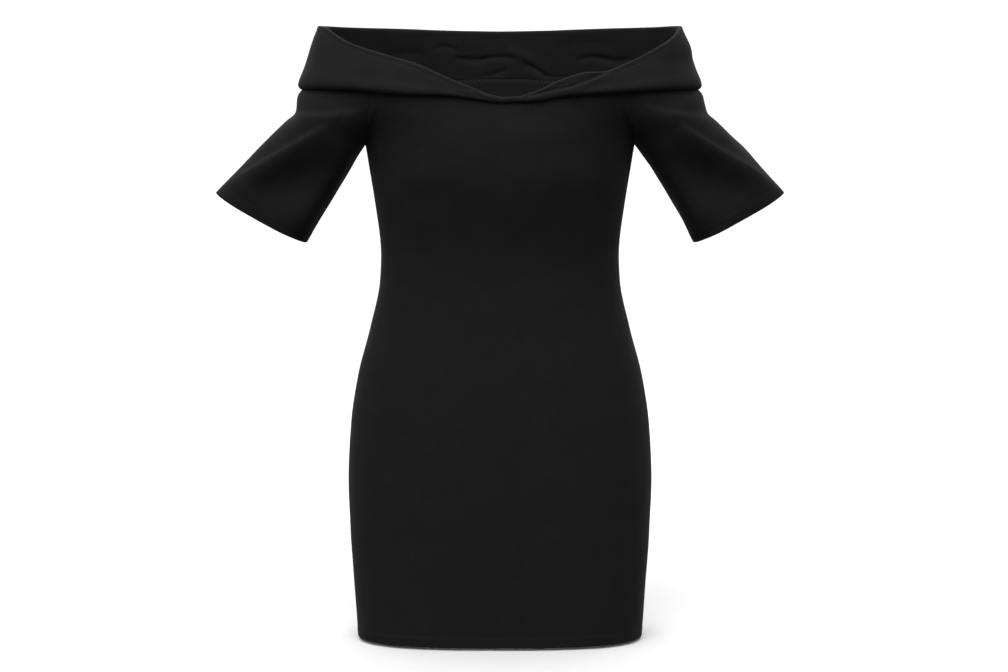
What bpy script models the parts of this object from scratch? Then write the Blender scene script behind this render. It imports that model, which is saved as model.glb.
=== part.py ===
"""A sheath mini dress with an off-the-shoulder neckline, a fold-over collar and short flared sleeves.

The dress is empty and filled out as if worn. Each piece of cloth is a thin wall, worked out from the
sections and sizes below. The origin is on the centre line, level with the neckline seam at the
shoulders. The front faces -Y, +Z is up and +X is at the viewer's right. All sizes are in metres.
"""

import math
from bisect import bisect_right
from collections import namedtuple

import bmesh
import bpy
from mathutils import Vector

CLOTH = 0.0016
SEAM_GAP = 0.0003
STEP = 0.001

HEM = -0.6440
UNDERARM = -0.0700
NECK_FRONT = -0.0235
NECK_BACK = 0.0105
NECK_ROUNDING = 1.4

ARMHOLE_TOP_REACH = 0.1464
ARMHOLE_BASE_REACH = 0.1570
ARMHOLE_ROUNDING = 2.5

BUST_FULLNESS = 0.004
BUST_HEIGHT = -0.095
BUST_TURN = math.radians(31)
BUST_SPREAD = 0.045
BUST_SPREAD_TURN = math.radians(22)

FOLD_RADIUS = 0.0024
COLLAR_LEAN_SIDE = -0.245
COLLAR_LEAN_CENTRE = -0.12
FLAP_STAND_OFF_SIDE = 0.0100
FLAP_STAND_OFF_CENTRE = 0.0042
FLAP_CROWN = 0.0008

SLEEVE_HEAD_FADE = 0.62
SLEEVE_HEM_SAG = 0.003
SLEEVE_BACK_FOLDS = 0.8
LEFT_SLEEVE_BOW = 0.0005
RIGHT_SLEEVE_BOW = 0.0040

PANEL_COLUMNS = 20
YOKE_ROWS = 7
SKIRT_ROWS = 21
SLEEVE_SIDES = 28
SLEEVE_ROWS = (0.0, 0.05, 0.12, 0.2, 0.3, 0.42, 0.55, 0.7, 0.85, 1.0)
COLLAR_COLUMNS = 36
STAND_ROWS = 3
ARC_ROWS = 4
FLAP_ROWS = 3

Section = namedtuple("Section", "height half_width front back fullness")
BODY = (
    Section(-0.6600, 0.1645, 0.0985, 0.1030, 2.75),
    Section(HEM, 0.1662, 0.0995, 0.1045, 2.75),
    Section(-0.5910, 0.1702, 0.1030, 0.1110, 2.60),
    Section(-0.5210, 0.1752, 0.1068, 0.1180, 2.45),
    Section(-0.4600, 0.1775, 0.1090, 0.1225, 2.35),
    Section(-0.3955, 0.1744, 0.1080, 0.1200, 2.30),
    Section(-0.3393, 0.1661, 0.1045, 0.1100, 2.25),
    Section(-0.2830, 0.1515, 0.0980, 0.0960, 2.20),
    Section(-0.2270, 0.1399, 0.0940, 0.0865, 2.20),
    Section(-0.1990, 0.1387, 0.0955, 0.0855, 2.20),
    Section(-0.1357, 0.1457, 0.1120, 0.0930, 2.25),
    Section(-0.0950, 0.1526, 0.1190, 0.0985, 2.30),
    Section(UNDERARM, 0.1570, 0.1170, 0.1010, 2.30),
    Section(-0.0450, 0.1850, 0.1110, 0.1020, 2.40),
    Section(-0.0200, 0.2090, 0.1060, 0.1010, 2.50),
    Section(0.0000, 0.2225, 0.1030, 0.1000, 2.50),
    Section(0.0120, 0.2240, 0.1020, 0.0990, 2.50),
)

Drape = namedtuple("Drape", "turn fold edge")
COLLAR = (
    Drape(-180, 0.0680, -0.0070),
    Drape(-90, 0.0680, -0.0070),
    Drape(-79, 0.0636, -0.0080),
    Drape(-66, 0.0424, -0.0105),
    Drape(-54, 0.0283, -0.0148),
    Drape(-45, 0.0198, -0.0168),
    Drape(-30, 0.0034, -0.0182),
    Drape(-18, -0.0074, -0.0214),
    Drape(-8, -0.0150, -0.0244),
    Drape(2, -0.0196, -0.0265),
    Drape(10, -0.0192, -0.0256),
    Drape(17, -0.0152, -0.0246),
    Drape(25, -0.0090, -0.0228),
    Drape(31, -0.0025, -0.0200),
    Drape(37, 0.0033, -0.0180),
    Drape(44, 0.0085, -0.0165),
    Drape(51, 0.0100, -0.0150),
    Drape(60, 0.0218, -0.0128),
    Drape(72, 0.0440, -0.0098),
    Drape(84, 0.0634, -0.0075),
    Drape(90, 0.0680, -0.0070),
    Drape(180, 0.0680, -0.0070),
)

Ring = namedtuple("Ring", "way outer_x outer_z inner_x inner_z half_depth")
SLEEVE = (
    Ring(0.00, 0.2225, 0.0000, 0.1570, -0.0700, 0.0880),
    Ring(0.12, 0.2340, -0.0140, 0.1662, -0.0848, 0.0820),
    Ring(0.24, 0.2372, -0.0330, 0.1750, -0.0990, 0.0750),
    Ring(0.34, 0.2465, -0.0425, 0.1815, -0.1102, 0.0690),
    Ring(0.60, 0.2795, -0.0745, 0.1988, -0.1392, 0.0560),
    Ring(1.00, 0.3300, -0.1260, 0.2262, -0.1840, 0.0460),
)

Fold = namedtuple("Fold", "start_x start_z end_x end_z half_width height")
SLEEVE_FOLDS = (
    Fold(0.150, -0.024, 0.230, -0.036, 0.009, 0.0030),
    Fold(0.150, -0.048, 0.272, -0.114, 0.019, -0.0110),
    Fold(0.196, -0.052, 0.300, -0.104, 0.013, 0.0050),
)

Finish = namedtuple("Finish", "red green blue roughness metallic")
BLACK_KNIT = Finish(0.012, 0.012, 0.013, 0.85, 0.0)


def clear_scene():
    """Removes what the scene holds."""
    for item in list(bpy.data.objects):
        bpy.data.objects.remove(item, do_unlink=True)


def read(table, column, place):
    """Reads a column on a smooth curve through the rows, which never passes a row's own peak."""
    places = [row[0] for row in table]
    values = [getattr(row, column) for row in table]
    place = min(max(place, places[0]), places[-1])
    last = len(places) - 2
    k = min(max(bisect_right(places, place) - 1, 0), last)

    def rise(i):
        i = min(max(i, 0), last)
        return (values[i + 1] - values[i]) / (places[i + 1] - places[i])

    def slope(i):
        before, after = rise(i - 1), rise(i)
        if before * after <= 0:
            return 0.0
        return 2 * before * after / (before + after)

    span = places[k + 1] - places[k]
    t = (place - places[k]) / span
    start = (1 + 2 * t) * (1 - t) ** 2 * values[k] + t * (1 - t) ** 2 * span * slope(k)
    end = t * t * (3 - 2 * t) * values[k + 1] - t * t * (1 - t) * span * slope(k + 1)
    return start + end


def ease(value):
    """Goes smoothly from 0 to 1."""
    value = min(max(value, 0.0), 1.0)
    return value * value * (3 - 2 * value)


def bust(turn, height):
    """The soft fullness of the front, alike on both sides."""
    if math.cos(turn) <= 0:
        return 0.0
    up = (height - BUST_HEIGHT) / BUST_SPREAD
    around = (abs(turn) - BUST_TURN) / BUST_SPREAD_TURN
    return BUST_FULLNESS * math.exp(-up * up - around * around)


def body_point(turn, height):
    """A point of the body's outer face; turn is the angle from the centre front towards +X."""
    power = read(BODY, "fullness", height)
    width = read(BODY, "half_width", height)
    depth = read(BODY, "front" if math.cos(turn) > 0 else "back", height)
    across = abs(math.sin(turn) / width) ** power
    along = abs(math.cos(turn) / depth) ** power
    reach = (across + along) ** (-1 / power) + bust(turn, height)
    return Vector((reach * math.sin(turn), -reach * math.cos(turn), height))


def seam_height(turn):
    """The height of the neckline seam."""
    rise = NECK_FRONT if math.cos(turn) > 0 else NECK_BACK
    return rise * abs(math.cos(turn)) ** NECK_ROUNDING


def armhole_turn(height, front):
    """The turn at which a panel ends: at the armhole, or at the side seam below it."""
    if height <= UNDERARM:
        return math.pi / 2
    way = min((height - UNDERARM) / -UNDERARM, 1.0)
    reach = ARMHOLE_TOP_REACH + (ARMHOLE_BASE_REACH - ARMHOLE_TOP_REACH) * (1 - way) ** ARMHOLE_ROUNDING
    power = read(BODY, "fullness", height)
    share = min(reach / read(BODY, "half_width", height), 1.0)
    depth = read(BODY, "front" if front else "back", height) * (1 - share ** power) ** (1 / power)
    turn = math.atan2(reach, depth)
    return turn if front else math.pi - turn


def corner_turn(front):
    """The turn at which the armhole meets the neckline seam."""
    turn = armhole_turn(0.0, front)
    for _ in range(8):
        turn = armhole_turn(seam_height(turn), front)
    return turn


CORNER_FRONT = corner_turn(True)
CORNER_BACK = corner_turn(False)


def armhole_height(way, front):
    """The height on the armhole, from the underarm at 0 to the neckline at 1."""
    top = seam_height(CORNER_FRONT if front else CORNER_BACK)
    return UNDERARM + way * (top - UNDERARM)


def armhole_point(way, front):
    """A point of the armhole at +X."""
    height = armhole_height(way, front)
    return body_point(armhole_turn(height, front), height)


def panel_point(column, row, front):
    """A panel's outer face: column runs from -1 to 1, row from 0 at the neck and 1 at the underarm to 2."""
    middle = 0.0 if front else math.pi
    if row >= 1:
        height = UNDERARM + (row - 1) * (HEM - UNDERARM)
        turn = column * math.pi / 2
        return body_point(middle + turn if front else middle - turn, height)
    corner = CORNER_FRONT if front else math.pi - CORNER_BACK
    top = seam_height(column * corner if front else math.pi - column * corner)
    height = UNDERARM + (1 - row) * (top - UNDERARM)
    edge = armhole_turn(armhole_height(1 - row, front), front)
    edge = edge if front else math.pi - edge
    return body_point(column * edge if front else math.pi - column * edge, height)


def sleeve_ring(around, way):
    """A point of the sleeve's oval at +X, before the head's own shape is given to it."""
    outer = Vector((read(SLEEVE, "outer_x", way), 0, read(SLEEVE, "outer_z", way)))
    inner = Vector((read(SLEEVE, "inner_x", way), 0, read(SLEEVE, "inner_z", way)))
    angle = math.pi / 2 + 2 * math.pi * around
    centre = (outer + inner) / 2
    depth = read(SLEEVE, "half_depth", way)
    sag = SLEEVE_HEM_SAG * ease(way) * math.sin(angle) ** 2
    down = Vector((outer.z - inner.z, 0, inner.x - outer.x)).normalized()
    return centre + (outer - inner) / 2 * math.cos(angle) - Vector((0, depth * math.sin(angle), 0)) + down * sag


def sleeve_head(around):
    """The sleeve's top edge at +X: down the front armhole, up the back one, and along the neckline."""
    around %= 1.0
    if around <= 0.25:
        return armhole_point(1 - around / 0.25, True)
    if around <= 0.5:
        return armhole_point((around - 0.25) / 0.25, False)
    turn = CORNER_BACK + (CORNER_FRONT - CORNER_BACK) * (around - 0.5) / 0.5
    return body_point(turn, seam_height(turn))


def fold_relief(point):
    """How far the sleeve's folds stand out of it, read from the place in the front view."""
    relief = 0.0
    for fold in SLEEVE_FOLDS:
        start = Vector((fold.start_x, fold.start_z))
        run = Vector((fold.end_x, fold.end_z)) - start
        place = Vector((point.x, point.z)) - start
        along = min(max(place.dot(run) / run.length_squared, 0.0), 1.0)
        away = (place - run * along).length / fold.half_width
        relief += fold.height * math.exp(-away * away) * (1 - (2 * along - 1) ** 4)
    return relief


def sleeve_point(around, way):
    """A point of the sleeve's outer face at +X; around starts at the front of the neckline."""
    fade = max(0.0, 1 - way / SLEEVE_HEAD_FADE) ** 2
    point = sleeve_ring(around, way) + (sleeve_head(around) - sleeve_ring(around, 0.0)) * fade
    side = -math.sin(math.pi / 2 + 2 * math.pi * around)
    strength = ease(abs(side) * 1.2) * ease(way / 0.15) * (1 if side < 0 else SLEEVE_BACK_FOLDS)
    point.y += math.copysign(fold_relief(point) * strength, side)
    return point


def outward(surface, u, v, inside):
    """The surface's unit normal that points away from the place inside it."""
    across = surface(u + STEP, v) - surface(u - STEP, v)
    along = surface(u, v + STEP) - surface(u, v - STEP)
    normal = across.cross(along).normalized()
    return normal if normal.dot(surface(u, v) - inside) > 0 else -normal


def panel_normal(column, row, front):
    """The outward normal of a panel."""
    point = panel_point(column, row, front)
    return outward(lambda u, v: panel_point(u, v, front), column, row, Vector((0, 0, point.z)))


def sleeve_normal(around, way):
    """The outward normal of the sleeve at +X."""
    centre = (sleeve_ring(0.25, way) + sleeve_ring(0.75, way)) / 2
    return outward(sleeve_point, around, max(way, 2 * STEP), centre)


def level(vector):
    """The vector turned level, at unit length."""
    return Vector((vector.x, vector.y, 0)).normalized()


def ring_normal(turn):
    """The level direction straight out of the neckline seam."""
    before = body_point(turn - STEP, seam_height(turn - STEP))
    after = body_point(turn + STEP, seam_height(turn + STEP))
    run = after - before
    return level(Vector((run.y, -run.x, 0)))


def armhole_seam(way, front):
    """A point of the armhole seam at +X, the direction of its cut and the way across it to the sleeve."""
    around = (1 - way) * 0.25 if front else 0.25 + way * 0.25
    point = armhole_point(way, front)
    panel = panel_normal(1 - STEP, 1 - way + STEP, front)
    sleeve = sleeve_normal(around, 0.0)
    cut = (panel + sleeve).normalized()
    run = sleeve_head(around + STEP) - sleeve_head(around - STEP)
    across = cut.cross(run).normalized()
    inward = sleeve_point(around, 0.03) - point
    return point, cut, across if across.dot(inward) > 0 else -across


def mirrored(vector, side):
    """The same place at the viewer's right for 1, or left for -1."""
    return Vector((vector.x * side, vector.y, vector.z))


def finish_material(name, finish):
    """The piece's own plain material."""
    material = bpy.data.materials.new(name)
    material.use_nodes = True
    shader = material.node_tree.nodes["Principled BSDF"]
    shader.inputs["Base Color"].default_value = (finish.red, finish.green, finish.blue, 1.0)
    shader.inputs["Roughness"].default_value = finish.roughness
    shader.inputs["Metallic"].default_value = finish.metallic
    return material


def add_wall(name, outer, inner, closed):
    """Makes a closed wall from two grids of points, a tube where closed is true."""
    mesh_data = bmesh.new()
    faces = [[mesh_data.verts.new(point) for point in row] for row in outer]
    backs = [[mesh_data.verts.new(point) for point in row] for row in inner]
    rows, columns = len(outer), len(outer[0])
    steps = [(j, (j + 1) % columns) for j in range(columns if closed else columns - 1)]
    for i in range(rows - 1):
        for j, k in steps:
            mesh_data.faces.new((faces[i][j], faces[i][k], faces[i + 1][k], faces[i + 1][j]))
            mesh_data.faces.new((backs[i][j], backs[i + 1][j], backs[i + 1][k], backs[i][k]))
        if not closed:
            mesh_data.faces.new((faces[i][0], faces[i + 1][0], backs[i + 1][0], backs[i][0]))
            mesh_data.faces.new((faces[i][-1], backs[i][-1], backs[i + 1][-1], faces[i + 1][-1]))
    for j, k in steps:
        mesh_data.faces.new((faces[0][j], backs[0][j], backs[0][k], faces[0][k]))
        mesh_data.faces.new((faces[-1][j], faces[-1][k], backs[-1][k], backs[-1][j]))
    bmesh.ops.recalc_face_normals(mesh_data, faces=mesh_data.faces)
    mesh = bpy.data.meshes.new(name)
    mesh_data.to_mesh(mesh)
    mesh_data.free()
    mesh.shade_smooth()
    piece = bpy.data.objects.new(name, mesh)
    piece.data.materials.append(finish_material(name, BLACK_KNIT))
    bpy.context.collection.objects.link(piece)
    return piece


def panel_pair(column, row, front):
    """The outer and inner point of a panel, with its seam edges cut to fit their neighbours."""
    side = 1 if column > 0 else -1
    if row == 0:
        point = panel_point(column, row, front)
        corner = CORNER_FRONT if front else math.pi - CORNER_BACK
        turn = column * corner if front else math.pi - column * corner
        cut = ring_normal(turn)
        if abs(column) == 1:
            across = mirrored(armhole_seam(1.0, front)[2], side)
            point = point - across * SEAM_GAP / 2
        return point, point - cut * CLOTH
    if abs(column) == 1 and row <= 1:
        point, cut, across = [mirrored(item, side) for item in armhole_seam(1 - row, front)]
        back = 1 if front else -1
        point = point - across * SEAM_GAP / 2 - Vector((0, back * SEAM_GAP / 2 * ease(row * 4 - 3), 0))
        return point, point - cut * CLOTH
    point = panel_point(column, row, front)
    normal = panel_normal(column, row, front)
    if abs(column) == 1:
        point = point - Vector((0, (1 if front else -1) * SEAM_GAP / 2, 0))
        normal = Vector((normal.x, 0, normal.z)).normalized()
    return point, point - normal * CLOTH


def add_panel(name, front):
    """The front or the back, from the neckline seam to the hem."""
    columns = [-1 + 2 * j / PANEL_COLUMNS for j in range(PANEL_COLUMNS + 1)]
    rows = [i / YOKE_ROWS for i in range(YOKE_ROWS)] + [1 + i / SKIRT_ROWS for i in range(SKIRT_ROWS + 1)]
    pairs = [[panel_pair(column, row, front) for column in columns] for row in rows]
    outer = [[pair[0] for pair in row] for row in pairs]
    inner = [[pair[1] for pair in row] for row in pairs]
    return add_wall(name, outer, inner, closed=False)


def sleeve_pair(around, way):
    """The outer and inner point of the sleeve at +X."""
    if way > 0:
        point = sleeve_point(around, way)
        return point, point - sleeve_normal(around, way) * CLOTH
    if 0 < around < 0.5:
        front = around <= 0.25
        share = 1 - around / 0.25 if front else around / 0.25 - 1
        point, cut, across = armhole_seam(share, front)
        point = point + across * SEAM_GAP / 2
        return point, point - cut * CLOTH
    point = sleeve_head(around)
    turn = CORNER_BACK + (CORNER_FRONT - CORNER_BACK) * ((around % 1.0 or 1.0) - 0.5) / 0.5
    if around in (0.0, 0.5):
        point = point + armhole_seam(1.0, around == 0.0)[2] * SEAM_GAP / 2
    return point, point - ring_normal(turn) * CLOTH


def add_sleeve(name, side, bow):
    """A flared sleeve, one tube from the armhole and the neckline to its hem, bowed out at its middle."""
    turns = [j / SLEEVE_SIDES for j in range(SLEEVE_SIDES)]
    outer, inner = [], []
    for way in SLEEVE_ROWS:
        shift = Vector((bow * math.sin(math.pi * way), 0, 0))
        pairs = [sleeve_pair(around, way) for around in turns]
        outer.append([mirrored(pair[0] + shift, side) for pair in pairs])
        inner.append([mirrored(pair[1] + shift, side) for pair in pairs])
    return add_wall(name, outer, inner, closed=True)


def collar_profile(turn):
    """The collar's middle line at one turn, as offsets out of the neckline seam and heights."""
    degrees = math.degrees(turn)
    fold = read(COLLAR, "fold", degrees)
    edge = read(COLLAR, "edge", degrees)
    foot = seam_height(turn) + SEAM_GAP
    sideways = math.sin(turn) ** 2
    lean = COLLAR_LEAN_CENTRE + (COLLAR_LEAN_SIDE - COLLAR_LEAN_CENTRE) * sideways
    stand_off = FLAP_STAND_OFF_CENTRE + (FLAP_STAND_OFF_SIDE - FLAP_STAND_OFF_CENTRE) * sideways
    if math.cos(turn) < 0:
        stand_off = FLAP_STAND_OFF_SIDE
    arc_height = fold - CLOTH / 2 - FOLD_RADIUS
    stand_top = lean * (arc_height - foot) - CLOTH / 2
    line = []
    for i in range(STAND_ROWS):
        share = i / STAND_ROWS
        line.append((-CLOTH / 2 + (stand_top + CLOTH / 2) * share, foot + (arc_height - foot) * share))
    for i in range(ARC_ROWS + 1):
        angle = math.pi * (1 - i / ARC_ROWS)
        offset = stand_top + FOLD_RADIUS * (1 + math.cos(angle))
        line.append((offset, arc_height + FOLD_RADIUS * math.sin(angle)))
    top, crown = stand_top + 2 * FOLD_RADIUS, FLAP_CROWN * ease((arc_height - edge) / 0.05)
    for i in range(1, FLAP_ROWS + 1):
        share = i / FLAP_ROWS
        bulge = crown * math.sin(math.pi * share)
        line.append((top + (stand_off - top) * share + bulge, arc_height + (edge - arc_height) * share))
    return line


def add_collar(name, front):
    """Half of the fold-over collar: a stand on the neckline seam, a rounded fold and an outer flap."""
    middle = 0.0 if front else math.pi
    end = math.pi / 2 - SEAM_GAP / 2 / body_point(math.pi / 2, 0.0).x
    turns = [middle + end * (2 * j / COLLAR_COLUMNS - 1) for j in range(COLLAR_COLUMNS + 1)]
    outer, inner = [], []
    for turn in turns:
        signed = turn if turn <= math.pi else turn - 2 * math.pi
        line = collar_profile(signed)
        foot = body_point(signed, seam_height(signed))
        out = ring_normal(signed)
        faces, backs = [], []
        for i, (offset, height) in enumerate(line):
            before, after = line[max(i - 1, 0)], line[min(i + 1, len(line) - 1)]
            run = Vector((after[0] - before[0], after[1] - before[1])).normalized()
            side = Vector((-run.y, run.x)) if 0 < i else Vector((-1.0, 0.0))
            place = Vector((offset, height))
            for grid, sign in ((faces, 1), (backs, -1)):
                at = place + side * sign * CLOTH / 2
                grid.append(Vector((foot.x + out.x * at.x, foot.y + out.y * at.x, at.y)))
        outer.append(faces)
        inner.append(backs)
    return add_wall(name, outer, inner, closed=False)


def main():
    """Builds the dress, one object for each piece that is cut and sewn on."""
    clear_scene()
    add_panel("front_panel", True)
    add_panel("back_panel", False)
    add_sleeve("sleeve_left", -1, LEFT_SLEEVE_BOW)
    add_sleeve("sleeve_right", 1, RIGHT_SLEEVE_BOW)
    add_collar("collar_front", True)
    add_collar("collar_back", False)


main()
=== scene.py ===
"""Looks of the off-the-shoulder sheath mini dress: fine cloth, sewing, a pale studio and the camera.

Every cut piece is a thin shell on the form of its solid, worked out from the same sizes, with the
creases that the cloth shows. The front faces -Y, +Z is up and all sizes are in metres.
"""

import logging
import math
from dataclasses import dataclass, field
from enum import Enum
from typing import NamedTuple, Sequence

import bmesh
import bpy
import numpy as np
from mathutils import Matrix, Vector


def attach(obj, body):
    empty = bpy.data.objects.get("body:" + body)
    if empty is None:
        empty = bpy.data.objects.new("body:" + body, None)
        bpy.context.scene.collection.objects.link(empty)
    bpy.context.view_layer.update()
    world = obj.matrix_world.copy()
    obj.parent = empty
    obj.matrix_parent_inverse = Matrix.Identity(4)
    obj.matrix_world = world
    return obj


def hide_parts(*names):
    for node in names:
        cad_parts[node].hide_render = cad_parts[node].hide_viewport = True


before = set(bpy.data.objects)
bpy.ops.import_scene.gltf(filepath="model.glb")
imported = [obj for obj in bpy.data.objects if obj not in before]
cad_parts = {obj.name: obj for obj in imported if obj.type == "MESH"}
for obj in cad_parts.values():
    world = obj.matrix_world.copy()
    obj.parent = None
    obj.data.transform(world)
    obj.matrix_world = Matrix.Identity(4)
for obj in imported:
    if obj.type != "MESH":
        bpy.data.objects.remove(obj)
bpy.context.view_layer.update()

LOG = logging.getLogger("dress")
CLOTH_MAP = "cloth"
FRAME_WIDTH = 1008  # the photo's width, in pixels
SENSOR_WIDTH = 36.0  # the camera's, in millimetres
CLOTH = 0.0012
HEM_TURN = 0.0115
HEM_LEDGE_RUN = 0.0012  # how far the cloth takes to come down from the double edge
SEAM_SPREAD = 0.0018  # how far from a seam its dip reaches
SEAM_CALM = 0.03  # how far from a seam creases and lumps come to their full height
STITCH_LIFT = 0.0001  # how far stitches stand off the cloth
STITCH_CLEAR = 0.0004  # how far above the turned edge they run
FALL_RUN = 1.7  # where a fold is deepest, in widths of the fold below its line
RISE_SHARE, RISE_START, RISE_RUN = 0.7, 1.6, 2.6  # how much comes out again, from where and over how far

Line = tuple[np.ndarray, bool]  # points, and whether they close on themselves


class Half(Enum):
    """Which half of the dress a piece belongs to."""

    FRONT = "front"
    BACK = "back"


class Side(Enum):
    """Which side of the dress a sleeve is on, with the sign of its X."""

    LEFT = -1
    RIGHT = 1


class Section(NamedTuple):
    """One level section of the body's outer face."""

    height: float
    half_width: float
    front: float
    back: float
    fullness: float


class Drape(NamedTuple):
    """The collar at one turn from the centre front, in degrees."""

    turn: float
    fold: float
    edge: float


class Ring(NamedTuple):
    """One oval of the sleeve, from the head at 0 to the hem at 1."""

    way: float
    outer_x: float
    outer_z: float
    inner_x: float
    inner_z: float
    half_depth: float


class Cut(NamedTuple):
    """A flat piece as it is cut: the rectangle round it and its own area."""

    width: float
    length: float
    area: float


class Crease(NamedTuple):
    """A soft trough or ridge along a bowed line in the front view, with X from the centre line."""

    start: tuple[float, float]
    middle: tuple[float, float]
    end: tuple[float, float]
    above: float
    below: float
    height: float


class Fold(NamedTuple):
    """A deep fold: the cloth rolls over along its line, falls in below it, and comes out again slowly."""

    start: tuple[float, float]
    middle: tuple[float, float]
    end: tuple[float, float]
    width_start: float
    width_end: float
    depth: float


class Bulge(NamedTuple):
    """A soft swelling or hollow of the collar at one turn, in degrees, and one height."""

    turn: float
    height: float
    spread_turn: float
    spread_height: float
    relief: float


class SmoothColumn:
    """A column of a short table, read on a smooth curve that never passes a row's own peak."""

    def __init__(self, rows: Sequence[tuple], column: str) -> None:
        """Works out the slope at each row.

        Args:
            rows: the table, sorted by its first column.
            column: the name of the column to read.
        """
        self.places = np.array([row[0] for row in rows], dtype=float)
        self.values = np.array([getattr(row, column) for row in rows], dtype=float)
        rises = np.diff(self.values) / np.diff(self.places)
        before = np.concatenate([rises[:1], rises])
        after = np.concatenate([rises, rises[-1:]])
        product = before * after
        total = np.where(product > 0, before + after, 1.0)
        self.slopes = np.where(product > 0, 2 * product / total, 0.0)

    def __call__(self, at: np.ndarray | float) -> np.ndarray:
        """Reads the column.

        Args:
            at: the places, in the first column's units.

        Returns:
            The values there.
        """
        place = np.clip(np.asarray(at, dtype=float), self.places[0], self.places[-1])
        k = np.clip(np.searchsorted(self.places, place, side="right") - 1, 0, len(self.places) - 2)
        span = self.places[k + 1] - self.places[k]
        t = (place - self.places[k]) / span
        start = (1 + 2 * t) * (1 - t) ** 2 * self.values[k] + t * (1 - t) ** 2 * span * self.slopes[k]
        end = t * t * (3 - 2 * t) * self.values[k + 1] - t * t * (1 - t) * span * self.slopes[k + 1]
        return start + end


def ease(value: np.ndarray | float) -> np.ndarray:
    """Goes smoothly from 0 to 1."""
    value = np.clip(value, 0.0, 1.0)
    return value * value * (3 - 2 * value)


def unit(vectors: np.ndarray) -> np.ndarray:
    """The vectors at unit length."""
    return vectors / np.maximum(np.linalg.norm(vectors, axis=-1, keepdims=True), 1e-12)


def placed(name: str, data: bpy.types.ID) -> bpy.types.Object:
    """Puts a mesh, a light or a camera into the scene as an object."""
    made = bpy.data.objects.new(name, data)
    bpy.context.collection.objects.link(made)
    return made


def fill(node: bpy.types.Node, values: dict[str | int, object]) -> None:
    """Sets the values of a node's inputs, by name or number."""
    for key, value in values.items():
        node.inputs[key].default_value = value


def add(tree: bpy.types.NodeTree, kind: str, values: dict[str | int, object] | None = None,
        **settings: str) -> bpy.types.Node:
    """Adds a node to a tree.

    Args:
        tree: the tree.
        kind: the node's type.
        values: the values of its inputs, by name or number.
        settings: its own settings, by name.

    Returns:
        The node.
    """
    made = tree.nodes.new(kind)
    for name, value in settings.items():
        setattr(made, name, value)
    fill(made, values or {})
    return made


def wire(tree: bpy.types.NodeTree, *runs: tuple[bpy.types.Node, str, bpy.types.Node, str | int]) -> None:
    """Links nodes.

    Args:
        tree: the nodes' tree.
        runs: the node and the output that each link starts at, and the node and the input it ends at.
    """
    for source, output, target, entry in runs:
        tree.links.new(source.outputs[output], target.inputs[entry])


def started(name: str) -> tuple[bpy.types.Material, bpy.types.NodeTree, bpy.types.Node]:
    """A new material, its node tree and its shader."""
    made = bpy.data.materials.new(name)
    made.use_nodes = True
    return made, made.node_tree, made.node_tree.nodes["Principled BSDF"]


def near_line(line: Crease | Fold, x: np.ndarray, z: np.ndarray) -> tuple[np.ndarray, ...]:
    """Where places in the front view lie by a bowed line.

    Args:
        line: the crease or the fold.
        x: the places' distance from the centre line, to the viewer's right.
        z: the places' heights.

    Returns:
        The distance from the line, whether the place is above it, and how far along it is, from 0 to 1.
    """
    runs = 20
    t = np.linspace(0.0, 1.0, runs + 1)[:, None]
    start, middle, end = (np.array(point) for point in line[:3])
    control = 2 * middle - (start + end) / 2
    path = (1 - t) ** 2 * start + 2 * t * (1 - t) * control + t ** 2 * end
    run = np.diff(path, axis=0)
    offset = np.stack([x, z], axis=-1)[..., None, :] - path[:-1]
    share = np.clip(np.sum(offset * run, axis=-1) / np.sum(run * run, axis=-1), 0, 1)
    away = np.linalg.norm(offset - share[..., None] * run, axis=-1)
    nearest = np.argmin(away, axis=-1)[..., None]
    side = (run[:, 0] * offset[..., 1] - run[:, 1] * offset[..., 0]) * np.sign(run[:, 0])
    way = (nearest[..., 0] + np.take_along_axis(share, nearest, -1)[..., 0]) / runs
    upper = np.take_along_axis(side, nearest, -1)[..., 0] > 0
    return np.take_along_axis(away, nearest, -1)[..., 0], upper, way


def crease_relief(creases: Sequence[Crease], x: np.ndarray, z: np.ndarray) -> np.ndarray:
    """How far the creases stand out at places in the front view.

    Args:
        creases: the troughs and ridges, each with its reach above and below its line.
        x: the places' distance from the centre line, to the viewer's right.
        z: the places' heights.

    Returns:
        The relief in metres, below zero in a trough.
    """
    relief = np.zeros_like(x)
    for crease in creases:
        away, upper, way = near_line(crease, x, z)
        reach = np.where(upper, crease.above, crease.below)
        relief += crease.height * np.exp(-(away / reach) ** 2) * (1 - (2 * way - 1) ** 4)
    return relief


def fold_relief(folds: Sequence[Fold], x: np.ndarray, z: np.ndarray) -> np.ndarray:
    """How deep the folds lie at places in the front view.

    Args:
        folds: the folds.
        x: the places' distance from the centre line, to the viewer's right.
        z: the places' heights.

    Returns:
        The relief in metres, below zero in a hollow.
    """
    relief = np.zeros_like(x)
    for fold in folds:
        away, upper, way = near_line(fold, x, z)
        width = fold.width_start + (fold.width_end - fold.width_start) * way
        below = np.where(upper, -away, away) / width
        fallen = ease(below / FALL_RUN) * (1 - RISE_SHARE * ease((below - RISE_START) / RISE_RUN))
        relief -= fold.depth * fallen * (1 - way ** 4)
    return relief


@dataclass(frozen=True)
class SoftLumps:
    """The slight unevenness of cloth that nothing pulls flat."""

    seed: int
    height: float
    length: float
    waves: int = 9

    def relief(self, a: np.ndarray, b: np.ndarray) -> np.ndarray:
        """How far the cloth stands out at places on it.

        Args:
            a: the places across the cloth, in metres.
            b: the places along the cloth, in metres.

        Returns:
            The relief in metres.
        """
        draw = np.random.default_rng(self.seed)
        total = np.zeros(np.broadcast(a, b).shape)
        for _ in range(self.waves):
            heading = draw.uniform(0, math.pi)
            number = 2 * math.pi / (self.length * draw.uniform(0.6, 1.7))
            way = a * math.cos(heading) + b * math.sin(heading)
            total += np.sin(number * way + draw.uniform(0, 6.28))
        return total * self.height / math.sqrt(self.waves)


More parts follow.
